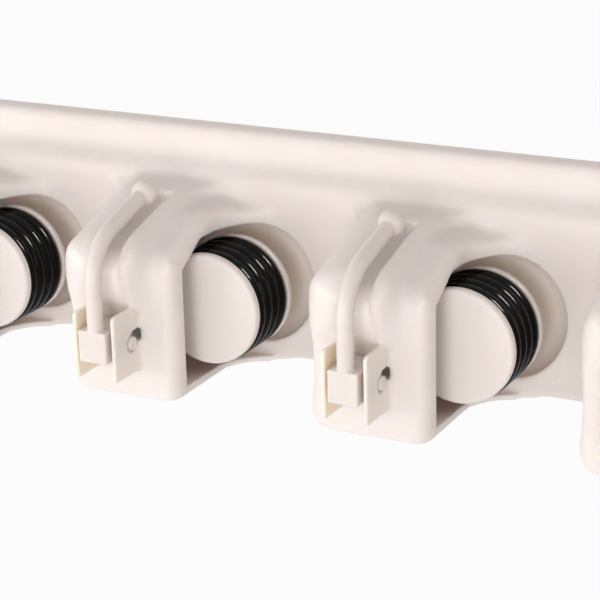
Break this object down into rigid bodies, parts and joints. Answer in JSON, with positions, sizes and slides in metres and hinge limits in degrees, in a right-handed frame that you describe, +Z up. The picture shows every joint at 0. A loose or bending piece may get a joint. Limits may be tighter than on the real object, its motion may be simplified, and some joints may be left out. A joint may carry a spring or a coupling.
{
  "type": "wall mop holder rack",
  "caption": "Wall rack of ivory plastic that grips mop handles between ringed rollers and hooded blocks, with a fold-away hook on each block.",
  "frame": {"origin": "on the wall plane, midway between the two screw holes", "axes": "+X along the rack to the right as seen from the front, +Y into the wall, +Z up"},
  "size_m": [0.438, 0.0648, 0.0662],
  "materials": {
    "ivory_plastic": "satin moulded polypropylene",
    "hook_plastic": "satin moulded plastic, slightly translucent",
    "black_rubber": "smooth, slightly glossy",
    "grey_nylon": "plain moulded nylon",
    "steel": "plain"
  },
  "bodies": {
    "rack": {"rack": "ivory_plastic"},
    "hook_1": {"hook_1": "hook_plastic"},
    "hook_2": {"hook_2": "hook_plastic"},
    "hook_3": {"hook_3": "hook_plastic"},
    "hook_4": {"hook_4": "hook_plastic"},
    "hook_5": {"hook_5": "hook_plastic"},
    "hook_6": {"hook_6": "hook_plastic"},
    "carrier_1": {"spindle_1": "grey_nylon", "washer_1": "steel"},
    "roller_1": {"hub_1": "ivory_plastic", "rings_1": "black_rubber", "cap_1": "ivory_plastic"},
    "carrier_2": {"spindle_2": "grey_nylon", "washer_2": "steel"},
    "roller_2": {"hub_2": "ivory_plastic", "rings_2": "black_rubber", "cap_2": "ivory_plastic"},
    "carrier_3": {"spindle_3": "grey_nylon", "washer_3": "steel"},
    "roller_3": {"hub_3": "ivory_plastic", "rings_3": "black_rubber", "cap_3": "ivory_plastic"},
    "carrier_4": {"spindle_4": "grey_nylon", "washer_4": "steel"},
    "roller_4": {"hub_4": "ivory_plastic", "rings_4": "black_rubber", "cap_4": "ivory_plastic"},
    "carrier_5": {"spindle_5": "grey_nylon", "washer_5": "steel"},
    "roller_5": {"hub_5": "ivory_plastic", "rings_5": "black_rubber", "cap_5": "ivory_plastic"}
  },
  "joints": [
    {"name": "hook_1_fold", "type": "hinge", "parent": "rack", "child": "hook_1", "pos_m": [-0.1875, -0.0547, -0.025], "axis": [1, 0, 0], "range_deg": [0, 90]},
    {"name": "hook_2_fold", "type": "hinge", "parent": "rack", "child": "hook_2", "pos_m": [-0.1125, -0.0547, -0.025], "axis": [1, 0, 0], "range_deg": [0, 90]},
    {"name": "hook_3_fold", "type": "hinge", "parent": "rack", "child": "hook_3", "pos_m": [-0.0375, -0.0547, -0.025], "axis": [1, 0, 0], "range_deg": [0, 90]},
    {"name": "hook_4_fold", "type": "hinge", "parent": "rack", "child": "hook_4", "pos_m": [0.0375, -0.0547, -0.025], "axis": [1, 0, 0], "range_deg": [0, 90]},
    {"name": "hook_5_fold", "type": "hinge", "parent": "rack", "child": "hook_5", "pos_m": [0.1125, -0.0547, -0.025], "axis": [1, 0, 0], "range_deg": [0, 90]},
    {"name": "hook_6_fold", "type": "hinge", "parent": "rack", "child": "hook_6", "pos_m": [0.1875, -0.0547, -0.025], "axis": [1, 0, 0], "range_deg": [0, 90]},
    {"name": "roller_1_track", "type": "slide", "parent": "rack", "child": "carrier_1", "axis": [-0.9781, 0, 0.2079], "range_m": [0, 0.008]},
    {"name": "roller_1_spin", "type": "hinge", "parent": "carrier_1", "child": "roller_1", "pos_m": [-0.1677, -0.03, -0.0191], "axis": [0, -1, 0], "continuous": true},
    {"name": "roller_2_track", "type": "slide", "parent": "rack", "child": "carrier_2", "axis": [-0.9781, 0, 0.2079], "range_m": [0, 0.008]},
    {"name": "roller_2_spin", "type": "hinge", "parent": "carrier_2", "child": "roller_2", "pos_m": [-0.0927, -0.03, -0.0191], "axis": [0, -1, 0], "continuous": true},
    {"name": "roller_3_track", "type": "slide", "parent": "rack", "child": "carrier_3", "axis": [-0.9781, 0, 0.2079], "range_m": [0, 0.008]},
    {"name": "roller_3_spin", "type": "hinge", "parent": "carrier_3", "child": "roller_3", "pos_m": [-0.0177, -0.03, -0.0191], "axis": [0, -1, 0], "continuous": true},
    {"name": "roller_4_track", "type": "slide", "parent": "rack", "child": "carrier_4", "axis": [-0.9781, 0, 0.2079], "range_m": [0, 0.008]},
    {"name": "roller_4_spin", "type": "hinge", "parent": "carrier_4", "child": "roller_4", "pos_m": [0.0573, -0.03, -0.0191], "axis": [0, -1, 0], "continuous": true},
    {"name": "roller_5_track", "type": "slide", "parent": "rack", "child": "carrier_5", "axis": [-0.9781, 0, 0.2079], "range_m": [0, 0.008]},
    {"name": "roller_5_spin", "type": "hinge", "parent": "carrier_5", "child": "roller_5", "pos_m": [0.1323, -0.03, -0.0191], "axis": [0, -1, 0], "continuous": true}
  ]
}
